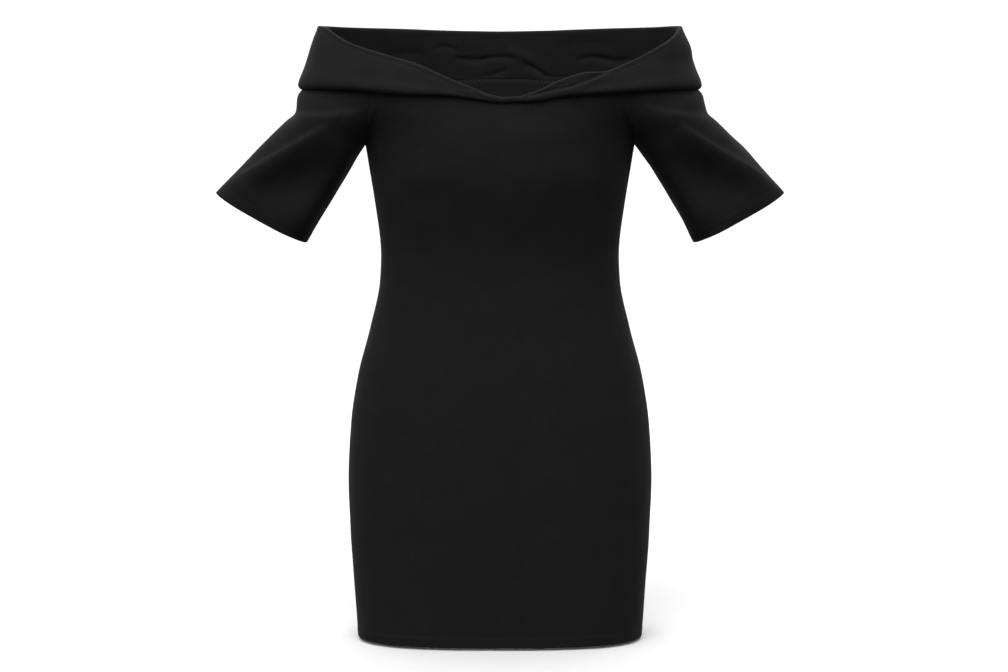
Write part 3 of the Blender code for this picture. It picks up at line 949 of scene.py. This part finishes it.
@dataclass
class Collar:
    """Half of the fold-over collar: a stand on the neckline seam, a rounded fold and an outer flap."""

    form: BodyForm
    half: Half
    stand_creases: tuple[Crease, ...]
    flap_creases: tuple[Crease, ...]
    bulges: tuple[Bulge, ...]
    lumps: SoftLumps
    cloth: float = CLOTH
    turned: float = 0.0009
    seam_lap: float = 0.0002
    fold_radius: float = 0.0024
    lean_side: float = -0.245
    lean_centre: float = -0.12
    stand_off_side: float = 0.0100
    stand_off_centre: float = 0.0042
    flap_crown: float = 0.0008
    flare: float = 0.0016
    flare_place: float = 0.93
    flare_spread: float = 0.16
    long_flap: float = 0.05
    roll_side: float = 0.0052
    roll_centre: float = 0.0022
    roll_turn: float = math.radians(78)
    turned_edge: float = 0.0100
    groove_drop: float = 0.0030
    groove_depth: float = 0.0004
    groove_spread: float = 0.0011
    foot_calm: float = 0.006
    end_calm: float = 0.012
    fold_calm: float = 0.85
    fold_calm_rows: float = 6.0
    side_reach: float = 0.2225
    gather: float = 1.15
    turns: int = 280
    stand_rows: int = 28
    arc_rows: int = 12
    flap_rows: int = 34
    roll_rows: int = 9
    drape: tuple[Drape, ...] = (
        Drape(-180, 0.0668, -0.0070),
        Drape(-150, 0.0675, -0.0070),
        Drape(-120, 0.0692, -0.0070),
        Drape(-104, 0.0690, -0.0070),
        Drape(-90, 0.0670, -0.0070),
        Drape(-79, 0.0636, -0.0080),
        Drape(-66, 0.0424, -0.0105),
        Drape(-54, 0.0283, -0.0148),
        Drape(-45, 0.0198, -0.0168),
        Drape(-30, 0.0034, -0.0182),
        Drape(-18, -0.0074, -0.0214),
        Drape(-8, -0.0150, -0.0244),
        Drape(2, -0.0196, -0.0265),
        Drape(10, -0.0192, -0.0256),
        Drape(17, -0.0152, -0.0246),
        Drape(25, -0.0090, -0.0228),
        Drape(31, -0.0025, -0.0200),
        Drape(37, 0.0033, -0.0180),
        Drape(44, 0.0085, -0.0165),
        Drape(51, 0.0100, -0.0150),
        Drape(60, 0.0218, -0.0128),
        Drape(72, 0.0440, -0.0098),
        Drape(84, 0.0634, -0.0075),
        Drape(90, 0.0670, -0.0070),
        Drape(104, 0.0692, -0.0070),
        Drape(120, 0.0694, -0.0070),
        Drape(150, 0.0676, -0.0070),
        Drape(180, 0.0668, -0.0070),
    )
    columns: dict[str, SmoothColumn] = field(init=False)

    def __post_init__(self) -> None:
        """Reads the drape."""
        self.columns = {name: SmoothColumn(self.drape, name) for name in Drape._fields[1:]}

    def profile(self, turn: float) -> np.ndarray:
        """The collar's middle line at one turn.

        Args:
            turn: the turn from the centre front, in radians.

        Returns:
            Points as offsets out of the neckline seam and heights.
        """
        degrees = math.degrees(turn)
        fold = float(self.columns["fold"](degrees))
        edge = float(self.columns["edge"](degrees))
        foot = float(self.form.seam_height(turn)) + (self.cloth - self.seam_lap) / 2
        sideways = math.sin(turn) ** 2 if math.cos(turn) > 0 else 1.0
        lean = self.lean_centre + (self.lean_side - self.lean_centre) * math.sin(turn) ** 2
        stand_off = self.stand_off_centre + (self.stand_off_side - self.stand_off_centre) * sideways
        half = self.cloth / 2
        radius = self.fold_radius
        arc = max(fold - half - radius, foot + half)
        top = lean * (arc - foot) - half
        share = np.linspace(0, 1, self.stand_rows, endpoint=False)
        stand = np.stack([-half + (top + half) * share, foot + (arc - foot) * share], axis=-1)
        angle = math.pi * (1 - np.linspace(0, 1, self.arc_rows + 1))
        bend = np.stack([top + radius * (1 + np.cos(angle)), arc + radius * np.sin(angle)], axis=-1)
        long = float(ease((arc - edge) / self.long_flap))
        roll = self.roll_centre + (self.roll_side - self.roll_centre) * sideways * long
        drop = roll * math.sin(self.roll_turn)
        share = np.linspace(0, 1, self.flap_rows + 1)[1:]
        outer = top + 2 * radius
        swell = self.flap_crown * long * np.sin(math.pi * share)
        kick = np.exp(-((share - self.flare_place) / self.flare_spread) ** 2) * ease(share * 3)
        swell = swell + self.flare * long * kick
        low = edge + half + drop
        hang = np.stack([outer + (stand_off - outer) * share + swell, arc + (low - arc) * share], axis=-1)
        angle = np.linspace(0, self.roll_turn, self.roll_rows + 1)[1:]
        last = hang[-1]
        curl = np.stack([last[0] - roll * (1 - np.cos(angle)), last[1] - roll * np.sin(angle)], axis=-1)
        return np.concatenate([stand, bend, hang, curl])

    def relief(self, grid: np.ndarray, turns: np.ndarray, run: np.ndarray, girth: np.ndarray) -> np.ndarray:
        """How far the creases stand out of the collar's faces.

        Args:
            grid: the points of the middle line, rows by turns.
            turns: the turn of each column, in radians.
            run: each point's way up the stand, over the fold and down the flap.
            girth: each point's way round the collar.

        Returns:
            The relief in metres.
        """
        x, z = grid[..., 0], grid[..., 2]
        row = np.arange(len(grid))[:, None]
        crest = self.stand_rows + self.arc_rows / 2
        stand, flap = (crease_relief(creases, x, z) for creases in (self.stand_creases, self.flap_creases))
        relief = np.where(row < crest, stand, flap)
        for bulge in self.bulges:
            away = (np.degrees(turns)[None] - bulge.turn + 180) % 360 - 180
            up = (z - bulge.height) / bulge.spread_height
            swell = bulge.relief * np.exp(-(away / bulge.spread_turn) ** 2 - up ** 2)
            relief = relief + swell * (row > crest)
        relief = relief + self.lumps.relief(girth, run)
        end = np.minimum(girth, girth[:, -1:] - girth)
        calm = ease(run / self.foot_calm) * ease(end / self.end_calm)
        relief = relief * calm * (1 - self.fold_calm * np.exp(-((row - crest) / self.fold_calm_rows) ** 2))
        below = run - run[self.stand_rows + self.arc_rows][None]
        groove = np.exp(-((below - self.groove_drop) / self.groove_spread) ** 2)
        return relief - self.groove_depth * groove

    def build(self, name: str) -> bpy.types.Object:
        """Makes half of the collar.

        Args:
            name: the piece's name.

        Returns:
            The piece.
        """
        middle = 0.0 if self.half is Half.FRONT else math.pi
        end = math.pi / 2 + self.seam_lap / 2 / self.side_reach
        turns = middle + end * clustered(self.turns, self.gather)
        turns = np.where(turns > math.pi, turns - 2 * math.pi, turns)
        lines = np.array([self.profile(float(turn)) for turn in turns]).transpose(1, 0, 2)
        foot = self.form.neckline(turns)
        out = self.form.neckline_out(turns)
        grid = foot[None] + out[None] * lines[..., :1]
        grid[..., 2] = lines[..., 1]
        along = unit(np.gradient(lines, axis=0))
        face = out[None] * -along[..., 1:] + np.array([0, 0, 1.0]) * along[..., :1]
        run = np.cumsum(np.linalg.norm(np.diff(grid, axis=0, prepend=grid[:1]), axis=-1), axis=0)
        girth = np.cumsum(np.linalg.norm(np.diff(grid, axis=1, prepend=grid[:, :1]), axis=-1), axis=1)
        grid = grid + face * self.relief(grid, turns, run, girth)[..., None]
        normals = grid_normals(grid, False, grid - face)
        thick = self.cloth + self.turned * turned_hem(run[-1:] - run, self.turned_edge)
        return cloth_mesh(name, grid + normals * self.cloth / 2, normals, thick, closed=False)


def grown(name: str, lines: Sequence[Line], tree: bpy.types.GeometryNodeTree,
          sizes: dict[str, float]) -> bpy.types.Object:
    """Runs a node tree along some lines and keeps the result as one plain mesh.

    Args:
        name: the piece's name.
        lines: each line's points, and whether it closes on itself.
        tree: the node tree, whose first input is the lines.
        sizes: the values of the tree's named inputs.

    Returns:
        The piece.
    """
    points, edges = [], []
    for line, closed in lines:
        first, count = len(points), len(line)
        points.extend(line.tolist())
        edges.extend((first + i, first + i + 1) for i in range(count - 1))
        if closed:
            edges.append((first + count - 1, first))
    guide_mesh = bpy.data.meshes.new(name + "_guide")
    guide_mesh.from_pydata(points, edges, [])
    guide = placed(name + "_guide", guide_mesh)
    sewing = guide.modifiers.new("sewing", "NODES")
    sewing.node_group = tree
    for socket in tree.interface.items_tree:
        if socket.name in sizes:
            sewing[socket.identifier] = sizes[socket.name]
    bpy.context.view_layer.update()
    mesh = bpy.data.meshes.new_from_object(guide.evaluated_get(bpy.context.evaluated_depsgraph_get()))
    mesh.name = name
    bpy.data.objects.remove(guide)
    bpy.data.meshes.remove(guide_mesh)
    return placed(name, mesh)


def sewing_tree(name: str, inputs: Sequence[str]
                ) -> tuple[bpy.types.GeometryNodeTree, bpy.types.Node, bpy.types.Node]:
    """Starts a node tree with lines in and thread out.

    Args:
        name: the tree's name.
        inputs: the names of its sizes.

    Returns:
        The tree, its entry and its exit.
    """
    made = bpy.data.node_groups.new(name, "GeometryNodeTree")
    made.interface.new_socket("Line", in_out="INPUT", socket_type="NodeSocketGeometry")
    for label in inputs:
        made.interface.new_socket(label, in_out="INPUT", socket_type="NodeSocketFloat")
    made.interface.new_socket("Thread run", in_out="OUTPUT", socket_type="NodeSocketGeometry")
    return made, made.nodes.new("NodeGroupInput"), made.nodes.new("NodeGroupOutput")


def finish_tree(made: bpy.types.GeometryNodeTree, last: bpy.types.Node, output: str, leave: bpy.types.Node,
                material: bpy.types.Material) -> None:
    """Ends a node tree: smooth, real meshes in the thread's material.

    Args:
        made: the node tree.
        last: its last node so far.
        output: the name of that node's output.
        leave: the tree's exit.
        material: the thread's material.
    """
    smooth = add(made, "GeometryNodeSetShadeSmooth")
    real = add(made, "GeometryNodeRealizeInstances")
    dress = add(made, "GeometryNodeSetMaterial", {"Material": material})
    wire(made, (last, output, smooth, "Geometry"), (smooth, "Geometry", real, "Geometry"),
         (real, "Geometry", dress, "Geometry"), (dress, "Geometry", leave, "Thread run"))


@dataclass(frozen=True)
class StitchRow:
    """A row of machine stitches along a line, made by Geometry Nodes."""

    spacing: float = 0.0048
    length: float = 0.0022
    thread: float = 0.00026
    sides: int = 6
    rings: int = 5

    def tree(self, material: bpy.types.Material) -> bpy.types.GeometryNodeTree:
        """Builds the nodes that lay one stitch at each step along a line.

        Args:
            material: the thread's material.

        Returns:
            The node tree, with the sizes as named inputs.
        """
        made, entry, leave = sewing_tree("stitch_row", ("Spacing", "Stitch length", "Thread"))
        curve = add(made, "GeometryNodeMeshToCurve")
        even = add(made, "GeometryNodeResampleCurve", mode="LENGTH")
        heading = add(made, "GeometryNodeInputTangent")
        turn = add(made, "FunctionNodeAlignRotationToVector", axis="Z")
        bead = add(made, "GeometryNodeMeshUVSphere",
                   {"Segments": self.sides, "Rings": self.rings, "Radius": 0.5})
        size = add(made, "ShaderNodeCombineXYZ")
        place = add(made, "GeometryNodeInstanceOnPoints")
        wire(made, (entry, "Line", curve, "Mesh"), (curve, "Curve", even, "Curve"),
             (entry, "Spacing", even, "Length"), (entry, "Thread", size, "X"), (entry, "Thread", size, "Y"),
             (entry, "Stitch length", size, "Z"), (heading, "Tangent", turn, "Vector"),
             (even, "Curve", place, "Points"), (bead, "Mesh", place, "Instance"),
             (turn, "Rotation", place, "Rotation"), (size, "Vector", place, "Scale"))
        finish_tree(made, place, "Instances", leave, material)
        return made

    def sew(self, name: str, lines: Sequence[Line], material: bpy.types.Material) -> bpy.types.Object:
        """Sews rows of stitches.

        Args:
            name: the piece's name.
            lines: each line's points, and whether it closes on itself.
            material: the thread's material.

        Returns:
            One plain mesh of stitches.
        """
        sizes = {"Spacing": self.spacing, "Stitch length": self.length, "Thread": self.thread}
        return grown(name, lines, self.tree(material), sizes)


@dataclass(frozen=True)
class Overlock:
    """Overlock stitching over a raw edge: one thread that runs up and down between two lines."""

    pitch: float = 0.0044
    thread: float = 0.00085
    sides: int = 6

    def tree(self, material: bpy.types.Material) -> bpy.types.GeometryNodeTree:
        """Builds the nodes that sweep a thread along a line.

        Args:
            material: the thread's material.

        Returns:
            The node tree, with the thread's size as a named input.
        """
        made, entry, leave = sewing_tree("overlock_run", ("Thread",))
        curve = add(made, "GeometryNodeMeshToCurve")
        half = add(made, "ShaderNodeMath", {1: 0.5}, operation="MULTIPLY")
        section = add(made, "GeometryNodeCurvePrimitiveCircle", {"Resolution": self.sides})
        sweep = add(made, "GeometryNodeCurveToMesh", {"Fill Caps": True})
        wire(made, (entry, "Line", curve, "Mesh"), (entry, "Thread", half, 0),
             (half, "Value", section, "Radius"), (curve, "Curve", sweep, "Curve"),
             (section, "Curve", sweep, "Profile Curve"))
        finish_tree(made, sweep, "Mesh", leave, material)
        return made

    def run(self, upper: np.ndarray, lower: np.ndarray) -> np.ndarray:
        """The thread's way between two lines.

        Args:
            upper: the line at the seam.
            lower: the line at the raw edge.

        Returns:
            The thread's points.
        """
        steps = np.linalg.norm(np.diff(upper, axis=0), axis=-1)
        along = np.concatenate([[0.0], np.cumsum(steps)])
        places = np.arange(0.0, along[-1], self.pitch / 4)
        rows = [np.stack([np.interp(places, along, line[:, axis]) for axis in range(3)], axis=-1)
                for line in (upper, lower)]
        reach = np.array([0.0, 0.5, 1.0, 0.5])[np.arange(len(places)) % 4][:, None]
        return rows[0] * (1 - reach) + rows[1] * reach

    def sew(self, name: str, bands: Sequence[tuple[np.ndarray, np.ndarray]],
            material: bpy.types.Material) -> bpy.types.Object:
        """Sews the overlock.

        Args:
            name: the piece's name.
            bands: the lines at the seam and at the raw edge, for each band.
            material: the thread's material.

        Returns:
            One plain mesh of thread.
        """
        lines = [(self.run(upper, lower), False) for upper, lower in bands]
        return grown(name, lines, self.tree(material), {"Thread": self.thread})


@dataclass
class Studio:
    """The pale floor, the soft lights and the camera."""

    floor_height: float = -0.6470
    floor_size: float = 9.0
    floor_white: float = 0.68
    floor_roughness: float = 0.9
    floor_specular: float = 0.1
    backdrop: float = 1.1
    sky: tuple[tuple[float, float], ...] = (
        (0.0, 0.12), (0.44, 0.34), (0.56, 0.50), (0.80, 0.70), (1.0, 0.85))
    suns: tuple[tuple[str, float, float, float, float], ...] = (
        ("front_high", -4.0, 47.0, 50.0, 2.7), ("left", -62.0, 30.0, 50.0, 0.55),
        ("back_high", 180.0, 52.0, 80.0, 1.7))
    lens: float = 85.0
    scale: float = 0.00117
    centre_x: float = 0.0047
    camera_height: float = -0.12285
    aim_height: float = -0.29367

    def floor(self) -> bpy.types.Object:
        """Makes the floor.

        Returns:
            The floor, a wide plane just under the hem.
        """
        half = self.floor_size / 2
        corners = [(-half, -half), (half, -half), (half, half), (-half, half)]
        mesh = bpy.data.meshes.new("floor")
        mesh.from_pydata([(x, y, self.floor_height) for x, y in corners], [], [(0, 1, 2, 3)])
        piece = placed("floor", mesh)
        made, _, shader = started("pale_floor")
        fill(shader, {"Base Color": (self.floor_white,) * 3 + (1.0,), "Roughness": self.floor_roughness,
                      "Specular IOR Level": self.floor_specular})
        mesh.materials.append(made)
        piece.visible_diffuse = False
        piece.visible_glossy = False
        return piece

    def light(self, name: str, azimuth: float, elevation: float, spread: float, strength: float) -> None:
        """Adds a soft light so far away that it falls evenly on the dress and the floor.

        Args:
            name: the light's name.
            azimuth: the side it comes from, in degrees: 0 is the front and 90 the viewer's right.
            elevation: its height, in degrees.
            spread: how wide it looks, in degrees.
            strength: its strength, in watts for each square metre.
        """
        data = bpy.data.lights.new(name, "SUN")
        data.energy = strength
        data.angle = math.radians(spread)
        around, up = math.radians(azimuth), math.radians(elevation)
        place = Vector((math.sin(around) * math.cos(up), -math.cos(around) * math.cos(up), math.sin(up)))
        lamp = placed(name, data)
        lamp.location = place * 3
        lamp.rotation_euler = (-place).to_track_quat("-Z", "Y").to_euler()

    def inside_light(self, place: Sequence[float], aim: Sequence[float], wide: float, deep: float,
                     power: float) -> None:
        """Adds a small soft light over the neck opening, for the inside of the back.

        Args:
            place: where it hangs.
            aim: what it points at.
            wide: its width, in metres.
            deep: its depth, in metres.
            power: its power, in watts.
        """
        data = bpy.data.lights.new("inside", "AREA")
        data.shape = "RECTANGLE"
        data.size, data.size_y = wide, deep
        data.energy = power
        lamp = placed("inside", data)
        lamp.location = place
        lamp.rotation_euler = (Vector(aim) - Vector(place)).to_track_quat("-Z", "Y").to_euler()
        lamp.visible_camera = False

    def lights(self) -> None:
        """Sets a surround that is light above and dim below, a plain white backdrop and the soft lights."""
        world = bpy.data.worlds.new("studio")
        world.use_nodes = True
        tree = world.node_tree
        glow = tree.nodes["Background"]
        fill(glow, {"Color": (1.0, 1.0, 1.0, 1.0)})
        place = add(tree, "ShaderNodeTexCoord")
        parts = add(tree, "ShaderNodeSeparateXYZ")
        height = add(tree, "ShaderNodeMapRange", {"From Min": -1.0, "From Max": 1.0})
        shades = add(tree, "ShaderNodeValToRGB")
        ramp = shades.color_ramp
        for k, (place_up, strength) in enumerate(self.sky):
            stop = ramp.elements[k] if k < 2 else ramp.elements.new(place_up)
            stop.position = place_up
            stop.color = (strength / 2,) * 3 + (1.0,)
        double = add(tree, "ShaderNodeMath", {1: 2.0}, operation="MULTIPLY")
        path = add(tree, "ShaderNodeLightPath")
        mixed = add(tree, "ShaderNodeMix", {"B": self.backdrop})
        wire(tree, (place, "Generated", parts, "Vector"), (parts, "Z", height, "Value"),
             (height, "Result", shades, "Fac"), (shades, "Color", double, 0), (double, "Value", mixed, "A"),
             (path, "Is Camera Ray", mixed, "Factor"), (mixed, "Result", glow, "Strength"))
        bpy.context.scene.world = world
        for sun in self.suns:
            self.light(*sun)
        self.inside_light((-0.07, -0.16, 0.34), (-0.04, 0.10, 0.06), 0.42, 0.10, 0.66)

    def camera(self) -> None:
        """Stands the camera at the photo's viewing angle."""
        data = bpy.data.cameras.new("camera")
        data.lens = self.lens
        data.sensor_width = SENSOR_WIDTH
        focal = self.lens / SENSOR_WIDTH * FRAME_WIDTH
        depth = focal * self.scale
        tilt = math.atan((self.camera_height - self.aim_height) / depth)
        aim = Vector((self.centre_x, 0.0, self.aim_height))
        ahead = Vector((0.0, math.cos(tilt), -math.sin(tilt)))
        camera = placed("camera", data)
        camera.location = aim - ahead * depth
        camera.rotation_euler = ahead.to_track_quat("-Z", "Y").to_euler()
        bpy.context.scene.camera = camera

    def build(self) -> None:
        """Builds the studio."""
        self.floor()
        self.lights()
        self.camera()
        bpy.context.scene.view_settings.view_transform = "Standard"


LEFT_SLEEVE_CREASES = (
    Crease((0.1520, -0.0350), (0.2040, -0.0400), (0.2440, -0.0345), 0.0042, 0.0160, 0.0060),
    Crease((0.1960, -0.0515), (0.2480, -0.0805), (0.3180, -0.1180), 0.0042, 0.0200, 0.0062),
    Crease((0.1700, -0.0430), (0.2400, -0.0765), (0.3120, -0.1160), 0.0180, 0.0240, 0.0028),
    Crease((0.1500, -0.0770), (0.1840, -0.1300), (0.2190, -0.1850), 0.0340, 0.0200, 0.0110),
)
LEFT_SLEEVE_FOLDS = (
    Fold((0.1480, -0.0350), (0.2220, -0.0685), (0.2960, -0.1125), 0.0340, 0.0160, 0.0115),
)
RIGHT_SLEEVE_CREASES = (
    Crease((0.1600, -0.0290), (0.2020, -0.0390), (0.2420, -0.0390), 0.0042, 0.0160, 0.0056),
    Crease((0.2000, -0.0500), (0.2480, -0.0790), (0.3180, -0.1170), 0.0042, 0.0200, 0.0064),
    Crease((0.1800, -0.0410), (0.2440, -0.0755), (0.3120, -0.1150), 0.0180, 0.0240, 0.0028),
    Crease((0.1500, -0.0770), (0.1840, -0.1300), (0.2190, -0.1850), 0.0340, 0.0200, 0.0090),
)
RIGHT_SLEEVE_FOLDS = (
    Fold((0.1520, -0.0255), (0.2230, -0.0645), (0.2960, -0.1095), 0.0330, 0.0160, 0.0115),
)
BACK_SLEEVE_CREASES = (
    Crease((0.1540, -0.0300), (0.2020, -0.0385), (0.2420, -0.0360), 0.0050, 0.0100, 0.0028),
    Crease((0.1960, -0.0490), (0.2460, -0.0770), (0.3120, -0.1150), 0.0050, 0.0150, 0.0032),
    Crease((0.1500, -0.0770), (0.1840, -0.1300), (0.2190, -0.1850), 0.0340, 0.0200, 0.0060),
)
BACK_SLEEVE_FOLDS = (
    Fold((0.1500, -0.0290), (0.2220, -0.0620), (0.2960, -0.1060), 0.0330, 0.0170, 0.0090),
)
BUST_CREASES = (
    Crease((-0.1080, -0.1180), (-0.0800, -0.1290), (-0.0480, -0.1230), 0.0120, 0.0180, -0.0011),
    Crease((0.0550, -0.1230), (0.0860, -0.1300), (0.1140, -0.1190), 0.0120, 0.0180, -0.0012),
)
BACK_STAND_CREASES = (
    Crease((-0.1500, 0.0582), (0.0000, 0.0590), (0.1500, 0.0582), 0.0010, 0.0010, -0.0003),
    Crease((-0.0560, 0.0376), (-0.0365, 0.0334), (-0.0130, 0.0350), 0.0022, 0.0042, -0.0021),
    Crease((-0.0250, 0.0338), (-0.0020, 0.0368), (0.0200, 0.0342), 0.0020, 0.0040, -0.0019),
    Crease((-0.0800, 0.0425), (-0.0660, 0.0494), (-0.0440, 0.0395), 0.0018, 0.0045, -0.0012),
    Crease((0.0270, 0.0305), (0.0440, 0.0215), (0.0600, 0.0115), 0.0022, 0.0045, -0.0022),
    Crease((0.0500, 0.0140), (0.0640, 0.0118), (0.0820, 0.0130), 0.0022, 0.0040, -0.0018),
    Crease((0.0080, 0.0445), (0.0270, 0.0380), (0.0430, 0.0285), 0.0045, 0.0040, 0.0013),
    Crease((0.0900, 0.0318), (0.1110, 0.0362), (0.1330, 0.0332), 0.0020, 0.0045, -0.0019),
    Crease((0.1180, 0.0352), (0.1370, 0.0322), (0.1600, 0.0342), 0.0020, 0.0045, -0.0018),
    Crease((-0.0440, 0.0106), (-0.0150, 0.0140), (0.0100, 0.0235), 0.0020, 0.0040, -0.0017),
    Crease((-0.1450, 0.0330), (-0.1150, 0.0400), (-0.0850, 0.0360), 0.0050, 0.0080, -0.0010),
    Crease((0.0700, 0.0500), (0.1050, 0.0545), (0.1400, 0.0480), 0.0040, 0.0060, -0.0007),
)
FRONT_FLAP_CREASES = (
    Crease((0.0320, -0.0180), (0.0600, -0.0112), (0.0870, -0.0062), 0.0030, 0.0020, -0.0019),
    Crease((0.0760, -0.0080), (0.0980, -0.0003), (0.1240, 0.0118), 0.0034, 0.0020, -0.0020),
    Crease((0.0180, -0.0242), (0.0580, -0.0155), (0.0980, -0.0060), 0.0020, 0.0048, 0.0015),
    Crease((0.0780, -0.0128), (0.1010, -0.0033), (0.1300, 0.0105), 0.0022, 0.0050, 0.0018),
    Crease((0.0500, -0.0090), (0.0640, -0.0056), (0.0790, -0.0040), 0.0010, 0.0010, -0.0006),
    Crease((-0.0400, -0.0105), (-0.0226, -0.0135), (-0.0030, -0.0200), 0.0018, 0.0018, -0.0009),
    Crease((-0.0420, -0.0120), (-0.0226, -0.0157), (0.0000, -0.0232), 0.0018, 0.0040, 0.0007),
)
BACK_FLAP_CREASES = (
    Crease((-0.1300, 0.0380), (-0.0700, 0.0250), (-0.0150, 0.0200), 0.0045, 0.0080, -0.0012),
    Crease((0.0200, 0.0300), (0.0700, 0.0320), (0.1300, 0.0440), 0.0050, 0.0080, -0.0012),
)
COLLAR_BULGES = (
    Bulge(88.0, 0.0420, 16.0, 0.0095, 0.0014),
    Bulge(86.0, 0.0222, 16.0, 0.0090, -0.0014),
    Bulge(-78.0, 0.0300, 18.0, 0.0120, -0.0007),
)


class Dress:
    """The whole dress: its cut pieces and its sewing."""

    def __init__(self) -> None:
        """Sets out the forms and the finishes."""
        self.form = BodyForm()
        self.knit = KnitFinish("black_double_knit").material()
        self.thread = ThreadFinish("black_thread").material()

    def settle(self, piece: bpy.types.Object, node: str) -> None:
        """Gives a cut piece its finish and its place in the frame, hides its solid and logs its face count.

        Args:
            piece: the piece of cloth.
            node: the solid that it stands for.
        """
        piece.data.materials.append(self.knit)
        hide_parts(node)
        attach(piece, "root")
        LOG.info("%s: %d faces", piece.name, len(piece.data.polygons))

    def thread_piece(self, piece: bpy.types.Object) -> None:
        """Gives a piece of sewing its place in the frame."""
        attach(piece, "root")
        LOG.info("%s: %d faces", piece.name, len(piece.data.polygons))

    def panels(self) -> None:
        """Builds the front and the back."""
        hems, bands = [], []
        halves = ((Half.FRONT, Cut(0.460, 0.640, 0.252), 3), (Half.BACK, Cut(0.460, 0.665, 0.259), 8))
        for half, cut, seed in halves:
            lumps = (SoftLumps(seed, 0.00028, 0.09), SoftLumps(seed + 1, 0.00008, 0.03))
            panel = Panel(self.form, half, BUST_CREASES if half is Half.FRONT else (), lumps)
            self.settle(panel.build(f"{half.value}_panel_cloth"), f"{half.value}_panel")
            hems.append((panel.hem_line, False))
            bands.append(panel.neck_band)
        self.thread_piece(StitchRow().sew("hem_stitches", hems, self.thread))
        self.thread_piece(Overlock().sew("neckline_overlock", bands, self.thread))

    def sleeves(self) -> None:
        """Builds both sleeves."""
        looks = {Side.LEFT: (0.0005, LEFT_SLEEVE_CREASES, LEFT_SLEEVE_FOLDS),
                 Side.RIGHT: (0.0040, RIGHT_SLEEVE_CREASES, RIGHT_SLEEVE_FOLDS)}
        for side, (bow, creases, folds) in looks.items():
            name = side.name.lower()
            lumps = SoftLumps(20 + side.value, 0.0003, 0.05)
            sleeve = Sleeve(self.form, side, bow, creases, folds, BACK_SLEEVE_CREASES, BACK_SLEEVE_FOLDS, lumps)
            piece = sleeve.build(f"sleeve_{name}_cloth")
            self.settle(piece, f"sleeve_{name}")
            rows = [(sleeve.hem_line, True)]
            self.thread_piece(StitchRow().sew(f"sleeve_{name}_hem_stitches", rows, self.thread))

    def collar(self) -> None:
        """Builds the collar's two halves."""
        creases = {Half.FRONT: ((), FRONT_FLAP_CREASES),
                   Half.BACK: (BACK_STAND_CREASES, BACK_FLAP_CREASES)}
        for half, (stand, flap) in creases.items():
            collar = Collar(self.form, half, stand, flap, COLLAR_BULGES, SoftLumps(31, 0.00025, 0.05))
            piece = collar.build(f"collar_{half.value}_cloth")
            self.settle(piece, f"collar_{half.value}")

    def build(self) -> None:
        """Builds every piece in order."""
        self.panels()
        self.sleeves()
        self.collar()


def main() -> None:
    """Builds the studio and the dress, and logs each piece's face count."""
    logging.basicConfig(level=logging.INFO, format="%(name)s: %(message)s")
    Studio().build()
    Dress().build()


if __name__ == "__main__":
    main()
